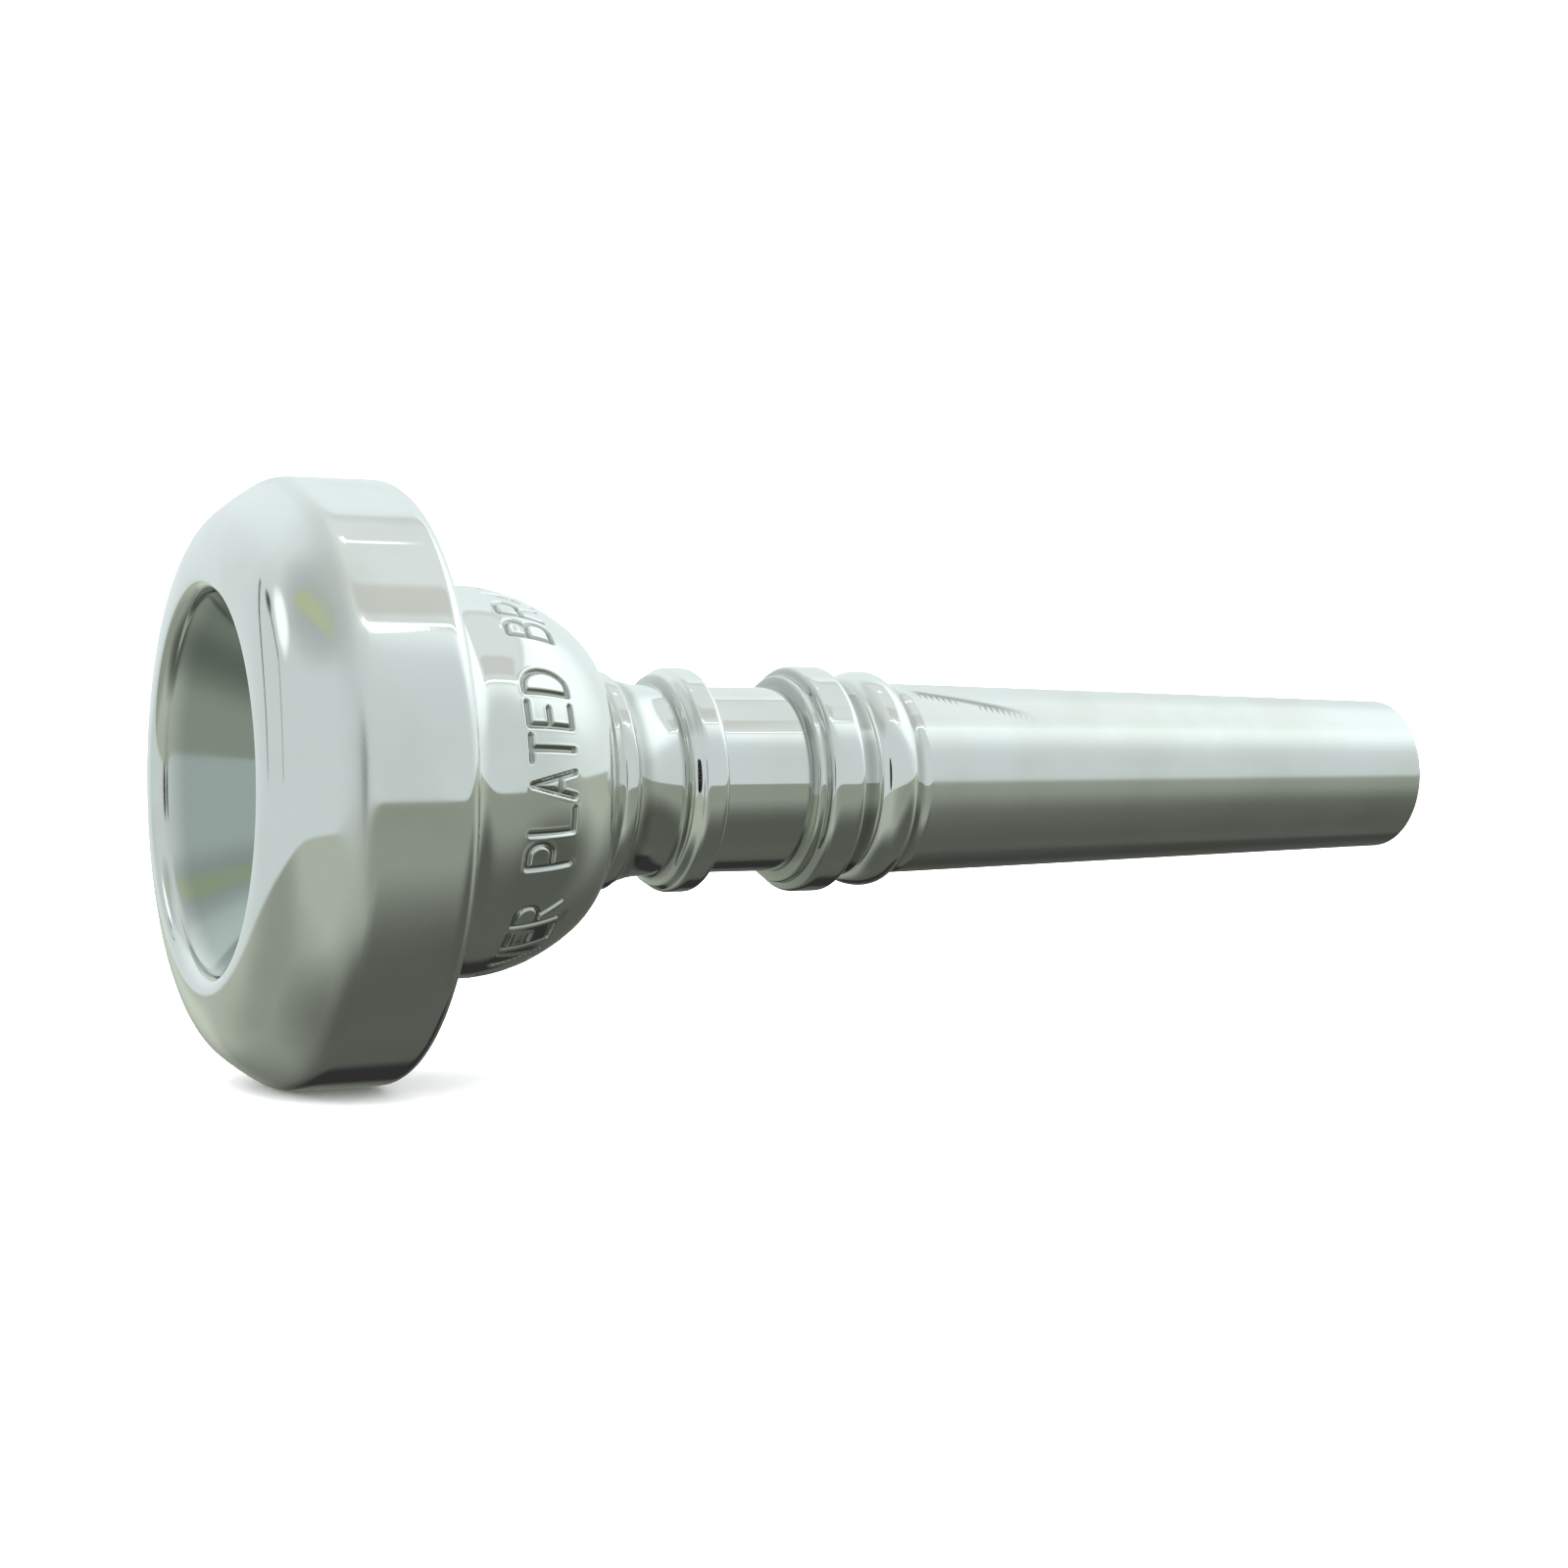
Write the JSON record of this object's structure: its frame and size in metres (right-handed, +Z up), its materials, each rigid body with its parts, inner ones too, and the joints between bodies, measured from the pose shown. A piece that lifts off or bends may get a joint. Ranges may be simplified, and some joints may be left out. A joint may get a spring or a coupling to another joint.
{
  "type": "cornet mouthpiece",
  "caption": "Sectional cornet mouthpiece in silver-plated brass: a screw-on cushion rim, a bowl-shaped cup with its throat, and a screw-on backbore with turned beads and a tapered shank.",
  "frame": {"origin": "on the axis at the shank's gauge plane, 25 mm in front of the shank's end, where an instrument's receiver starts", "axes": "+X along the axis towards the shank's end, so the rim faces -X; +Z up"},
  "size_m": [0.064, 0.027, 0.027],
  "materials": {
    "rim_silver": "polished silver plate",
    "cup_silver": "polished silver plate, satin inside",
    "backbore_silver": "polished silver plate with a finely turned shank"
  },
  "bodies": {
    "backbore": {"backbore": "backbore_silver"},
    "cup": {"cup": "cup_silver"},
    "rim": {"rim": "rim_silver"}
  },
  "joints": [
    {"name": "cup_unscrew", "type": "slide", "parent": "backbore", "child": "cup", "axis": [-1, 0, 0], "range_m": [0, 0.012]},
    {"name": "rim_unscrew", "type": "slide", "parent": "cup", "child": "rim", "axis": [-1, 0, 0], "range_m": [0, 0.01]}
  ]
}
